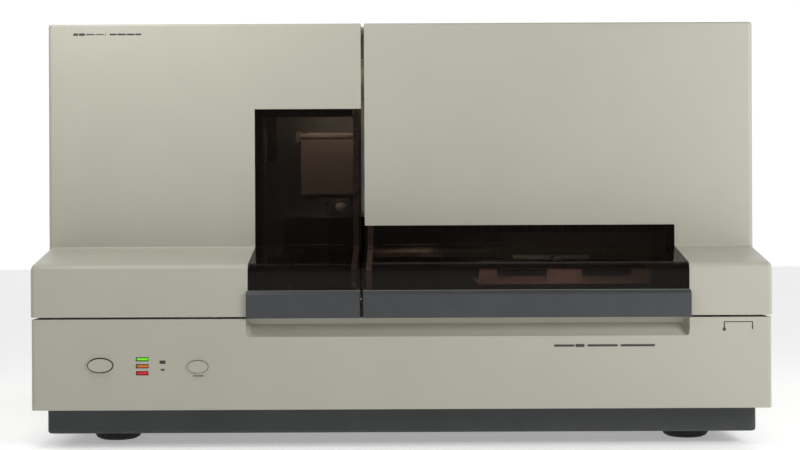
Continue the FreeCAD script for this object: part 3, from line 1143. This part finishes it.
def rear_fan():
    """A cooling fan in a square frame, with a wire guard outside the back sheet."""
    front = f"({FAN_BACK} - fan_deep)"
    half = "fan_square / 2"
    ring = cut("fan_ring", block("fan_case", (f"fan_x - {half}", f"fan_x + {half}"), (front, FAN_BACK),
                                 (f"fan_z - {half}", f"fan_z + {half}")),
               rod("fan_bore", "Y", ("fan_x", "fan_z"), "fan_hole", (f"{front} - 1", f"{FAN_BACK} + 1")))
    struts = [block("fan_strut", (f"fan_x - {half}", f"fan_x + {half}"), (front, f"{front} + thin_sheet"),
                    ("fan_z - strut / 2", "fan_z + strut / 2")),
              block("fan_strut", ("fan_x - strut / 2", "fan_x + strut / 2"), (front, f"{front} + thin_sheet"),
                    (f"fan_z - {half}", f"fan_z + {half}")),
              rod("fan_mount", "Y", ("fan_x", "fan_z"), "hub_radius", (front, f"{front} + thin_sheet"))]
    frame_body = fuse("fan_frame_body", ring, *struts)
    span = (f"{FAN_BACK} - fan_rotor_gap - fan_rotor_deep", f"{FAN_BACK} - fan_rotor_gap")
    node("rear_fan", fan_blades("rear_fan", "fan_x", "fan_z", "fan_radius", span))
    wires = []
    depth = f"{REAR} + guard_proud - 2 * guard_wire"
    for index in range(GUARD_RINGS):
        ring = doc.addObject("Part::Torus", "guard_ring")
        ring.Placement = FreeCAD.Placement(FreeCAD.Vector(), TURNS["Y"])
        ring.setExpression("Radius1", bound(f"({index + 1}) * guard_ring"))
        ring.setExpression("Radius2", bound("guard_wire"))
        place(ring, "fan_x", f"{REAR} + guard_proud - guard_wire", "fan_z")
        wires.append(ring)
    reach = f"({GUARD_RINGS} * guard_ring)"
    deep = (depth, f"{REAR} + guard_proud - guard_wire")
    wires.append(block("guard_spoke", (f"fan_x - {reach}", f"fan_x + {reach}"), deep,
                       ("fan_z - guard_wire", "fan_z + guard_wire")))
    wires.append(block("guard_spoke", ("fan_x - guard_wire", "fan_x + guard_wire"), deep,
                       (f"fan_z - {reach}", f"fan_z + {reach}")))
    for x in (f"fan_x - {reach}", f"fan_x + {reach}"):
        wires.append(rod("guard_leg", "Y", (x, "fan_z"), "2 * guard_wire",
                         (REAR, f"{REAR} + guard_proud - guard_wire / 2")))
    node("fan_frame", frame_body, fuse("guard_body", *wires))


def rear_connectors():
    """The mains inlet with its three pins, the switch's frame and two data ports."""
    pieces = []
    front = f"{REAR} - inlet_deep"
    face = f"{REAR} + inlet_flange"
    middle = "(inlet_x)"
    body = block("inlet_body", (f"{middle} - inlet_wide / 2", f"{middle} + inlet_wide / 2"), (front, REAR),
                 ("inlet_z - inlet_high / 2", "inlet_z + inlet_high / 2"))
    flange = block("inlet_rim",
                   (f"{middle} - inlet_wide / 2 - skin", f"{middle} + inlet_wide / 2 + skin"), (REAR, face),
                   ("inlet_z - inlet_high / 2 - skin", "inlet_z + inlet_high / 2 + skin"))
    pocket = block("inlet_pocket", (f"{middle} - inlet_pocket_wide / 2", f"{middle} + inlet_pocket_wide / 2"),
                   (f"{face} - inlet_pocket_deep", f"{face} + 1"),
                   ("inlet_z - inlet_pocket_high / 2", "inlet_z + inlet_pocket_high / 2"))
    pins = []
    for step, drop in ((-1, -1), (0, 1), (1, -1)):
        x = f"({middle} + {step} * inlet_pin_pitch)"
        z = f"(inlet_z + {drop} * inlet_pin_high / 2)"
        pins.append(block("inlet_pin", (f"{x} - inlet_pin_wide / 2", f"{x} + inlet_pin_wide / 2"),
                          (f"{face} - inlet_pocket_deep", f"{face} - inlet_pocket_deep + inlet_pin_long"),
                          (f"{z} - inlet_pin_high / 2", f"{z} + inlet_pin_high / 2")))
    pieces.append(fuse("inlet", cut("inlet_socket", fuse("inlet_case", body, flange), pocket), *pins))
    case = block("switch_body", ("switch_x - switch_wide / 2", "switch_x + switch_wide / 2"), (front, REAR),
                 ("inlet_z - switch_high / 2", "inlet_z + switch_high / 2"))
    rim = block("switch_rim", ("switch_x - switch_wide / 2 - seam", "switch_x + switch_wide / 2 + seam"),
                (REAR, f"{REAR} + switch_lip"),
                ("inlet_z - switch_high / 2 - seam", "inlet_z + switch_high / 2 + seam"))
    well = block("switch_well", ("switch_x - switch_wide / 2 + seam", "switch_x + switch_wide / 2 - seam"),
                 (f"{REAR} - inlet_deep + seam", f"{face}"),
                 ("inlet_z - switch_high / 2 + seam", "inlet_z + switch_high / 2 - seam"))
    pieces.append(cut("switch_frame", fuse("switch_case", case, rim), well))
    for index in range(PORTS):
        x = f"(port_x + {index} * port_pitch)"
        case = block("port_body", (f"{x} - port_wide / 2", f"{x} + port_wide / 2"), (front, f"{REAR} + 1"),
                     ("inlet_z - port_high / 2", "inlet_z + port_high / 2"))
        hole = block("port_hole",
                     (f"{x} - port_wide / 2 + port_pocket", f"{x} + port_wide / 2 - port_pocket"),
                     (f"{REAR} - port_deep", f"{REAR} + 2"),
                     ("inlet_z - port_high / 2 + port_pocket", "inlet_z + port_high / 2 - port_pocket"))
        pieces.append(cut("port", case, hole))
    node("rear_connectors", *pieces)


def mains_switch():
    """A rocker that tilts about a line across its middle, pressed at its lower end at rest."""
    outline = [
        ("-rocker_back", "-rocker_half / 2"), ("rocker_front", "-rocker_half"), ("rocker_dip", 0),
        ("rocker_front", "rocker_half"), ("-rocker_back", "rocker_half / 2"),
    ]
    rocker = prism("rocker", "YZ", outline, ("-rocker_wide / 2", "rocker_wide / 2"))
    rocker.Placement = FreeCAD.Placement(
        FreeCAD.Vector(), FreeCAD.Rotation(FreeCAD.Vector(1, 0, 0), value("rocker_tilt")))
    place(rocker, "switch_x", f"{REAR} - rocker_in", "inlet_z")
    node("mains_switch", rocker)


def screws():
    """The screws that hold the feet and the back sheet."""
    pieces = []
    for spot in FOOT_PLACES:
        head = rod("foot_screw_head", "Z", spot, "screw_head",
                   ("foot_recess_depth - screw_head_depth", "foot_recess_depth"))
        shank = rod("foot_screw_shank", "Z", spot, "screw_shank",
                    ("foot_recess_depth - 1", "foot_height + thin_sheet + screw_through"))
        pieces.append(fuse("foot_screw", head, shank))
    for spot in REAR_SCREWS:
        pieces.append(rod("rear_screw_head", "Y", spot, "rear_screw", (REAR, f"{REAR} + rear_screw_head")))
    node("screws", *pieces)



for step in (feet, base_plinth, chassis_floor, top_cover, rear_panel, lower_front_panel, status_lenses,
             frame, door_catches):
    step()
for hand in ("left", "right"):
    side_cover(hand)
push_button("power_button", POWER_X, "power_z", "power_wide", "power_high", "power_proud", "power_button_gap")
push_button("tray_button", TRAY_X, "tray_z", "tray_wide", "tray_high", "tray_proud", "tray_button_gap")
node("hinge_brackets", *[hinge_bracket(hand, height)
                         for hand in ("left", "right") for height in HINGE_HEIGHTS])
for hand, wide, high in (("left", "left_window_wide", "left_window_high"),
                         ("right", "right_window_wide", "right_window_high")):
    door_shell(hand, wide, high)
    door_window(hand, wide, high)
    window_frame(hand, wide, high)
    door_handle(hand, wide)
for step in (oven, oven_door, capillaries, detection, pump, polymer_tubes, rails, x_carriage, y_carriage,
             sample_tray, sample_plates, reservoirs, optics, electronics, rear_fan, rear_connectors,
             mains_switch, screws):
    step()

# ---------------------------------------------------------------- check and write

doc.recompute()
for item in doc.Objects:
    if "Invalid" in item.State or "Error" in item.State:
        raise SystemExit(f"{item.Label}: {item.State}")
os.makedirs("parts", exist_ok=True)
for item in nodes:
    shape = item.Shape
    if shape.isNull() or not shape.isValid() or not shape.Solids:
        raise SystemExit(f"{item.Label}: not a valid solid")
    shape.exportStep(f"parts/{item.Label}.step")
    box = shape.BoundBox
    print(f"{item.Label:22s} {len(shape.Solids)} x {box.XMin:7.1f} {box.XMax:7.1f}"
          f"  y {box.YMin:7.1f} {box.YMax:7.1f}  z {box.ZMin:7.1f} {box.ZMax:7.1f}")
